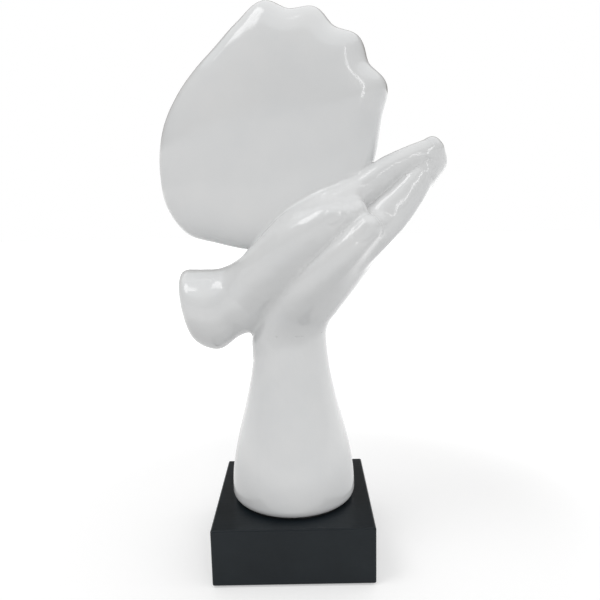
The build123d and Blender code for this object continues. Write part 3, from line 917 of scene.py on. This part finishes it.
def make_floor():
    """Pale floor that keeps the shadow, with a painted glow seen straight on and in reflections, weaker near
    the object and full white further out.
    """
    mesh = bpy.data.meshes.new("floor")
    corners = [(x * FLOOR_HALF, y * FLOOR_HALF, 0) for x, y in ((-1, -1), (1, -1), (1, 1), (-1, 1))]
    mesh.from_pydata(corners, [], [(0, 1, 2, 3)])
    floor = bpy.data.objects.new("floor", mesh)
    bpy.context.scene.collection.objects.link(floor)
    nodes = Nodes("pale_floor")
    nodes.set(Base_Color=(*[FLOOR_TONE] * 3, 1), Roughness=0.9, Emission_Color=(1, 1, 1, 1))
    place = nodes.add("ShaderNodeTexCoord")
    reach = nodes.add("ShaderNodeVectorMath", operation="LENGTH")
    nodes.link(place.outputs["Object"], reach.inputs[0])
    # painted glow of the floor: weaker within the shadow's reach, full white beyond
    far = nodes.add("ShaderNodeMapRange", interpolation_type="SMOOTHSTEP")
    far.inputs["From Min"].default_value = SHADOW_REACH
    far.inputs["From Max"].default_value = WHITE_REACH
    far.inputs["To Min"].default_value = FLOOR_GLOW
    far.inputs["To Max"].default_value = 1.0
    nodes.link(reach.outputs["Value"], far.inputs["Value"])
    glow = nodes.add("ShaderNodeMath", operation="MULTIPLY")
    nodes.link(far.outputs["Result"], glow.inputs[0])
    nodes.link(seen_directly(nodes.tree), glow.inputs[1])
    nodes.link(glow.outputs["Value"], nodes.shader.inputs["Emission Strength"])
    mesh.materials.append(nodes.material)


def make_reflection_drape():
    """Dark drape round the studio, seen only in reflections: a painted dark reflection with a faint warm
    glow, lighting nothing and casting no shadow.
    """
    turns = np.linspace(0, 2 * np.pi, DRAPE_FOLDS, endpoint=False)
    ring = [(DRAPE_RADIUS * np.cos(turn), DRAPE_RADIUS * np.sin(turn)) for turn in turns]
    points = [(x, y, z) for z in DRAPE_HEIGHTS for x, y in ring]
    n = DRAPE_FOLDS
    mesh = bpy.data.meshes.new("drape")
    mesh.from_pydata(points, [], [(i, (i + 1) % n, (i + 1) % n + n, i + n) for i in range(n)])
    drape = bpy.data.objects.new("drape", mesh)
    bpy.context.scene.collection.objects.link(drape)
    nodes = Nodes("painted_reflection_drape")
    nodes.set(Base_Color=(0.02, 0.02, 0.02, 1), Roughness=1.0)
    # painted reflection: a faint warm glow on the drape, seen only in reflections
    nodes.set(Emission_Color=(*DRAPE_REFLECTION_TINT, 1), Emission_Strength=DRAPE_GLOW)
    mesh.materials.append(nodes.material)
    drape.visible_camera = False
    drape.visible_diffuse = False
    drape.visible_transmission = False
    drape.visible_shadow = False


def make_world():
    """White backdrop for the camera, a softer sky for the light."""
    world = bpy.data.worlds.new("studio")
    bpy.context.scene.world = world
    world.use_nodes = True
    tree = world.node_tree
    background = tree.nodes["Background"]
    mix = tree.nodes.new("ShaderNodeMix")
    mix.data_type = "FLOAT"
    mix.inputs["B"].default_value = 1.0
    place = tree.nodes.new("ShaderNodeTexCoord")
    lean = tree.nodes.new("ShaderNodeVectorMath")
    lean.operation = "DOT_PRODUCT"
    lean.inputs[1].default_value = SKY_LEAN
    tree.links.new(place.outputs["Generated"], lean.inputs[0])
    sky = tree.nodes.new("ShaderNodeMath")
    sky.inputs[1].default_value = SKY_LIGHT
    tree.links.new(lean.outputs["Value"], sky.inputs[0])
    tree.links.new(sky.outputs["Value"], mix.inputs["A"])
    tree.links.new(seen_directly(tree), mix.inputs["Factor"])
    tree.links.new(mix.outputs["Result"], background.inputs["Strength"])
    background.inputs["Color"].default_value = (1, 1, 1, 1)


def soft_box(name, place, target, size, power):
    """Rectangular soft box that faces a point."""
    lamp = bpy.data.lights.new(name, "AREA")
    lamp.shape = "RECTANGLE"
    lamp.size, lamp.size_y = size
    lamp.energy = power
    holder = bpy.data.objects.new(name, lamp)
    holder.location = place
    holder.rotation_euler = (Vector(target) - Vector(place)).to_track_quat("-Z", "Y").to_euler()
    bpy.context.scene.collection.objects.link(holder)


def make_camera():
    """Camera at the photograph's angle."""
    data = bpy.data.cameras.new("camera")
    data.lens = CAMERA_LENS
    data.sensor_width = CAMERA_SENSOR
    data.clip_start = CAMERA_NEAR
    turn = (
        Matrix.Rotation(radians(CAMERA_YAW), 3, "Z")
        @ Matrix.Rotation(radians(CAMERA_PITCH), 3, "X")
        @ Matrix.Rotation(radians(CAMERA_ROLL), 3, "Y")
    )
    right, forward, up = turn.col[0], turn.col[1], turn.col[2]
    matrix = Matrix((right, up, -forward)).transposed().to_4x4()
    matrix.translation = Vector(CAMERA_PLACE) * METRES
    camera = bpy.data.objects.new("camera", data)
    camera.matrix_world = matrix
    bpy.context.scene.collection.objects.link(camera)
    bpy.context.scene.camera = camera


dress_nodes()
make_castings()
make_floor()
make_world()
soft_box("key", **KEY_BOX)
soft_box("top", **TOP_BOX)
make_reflection_drape()
make_camera()
bpy.context.scene.view_settings.view_transform = "Standard"
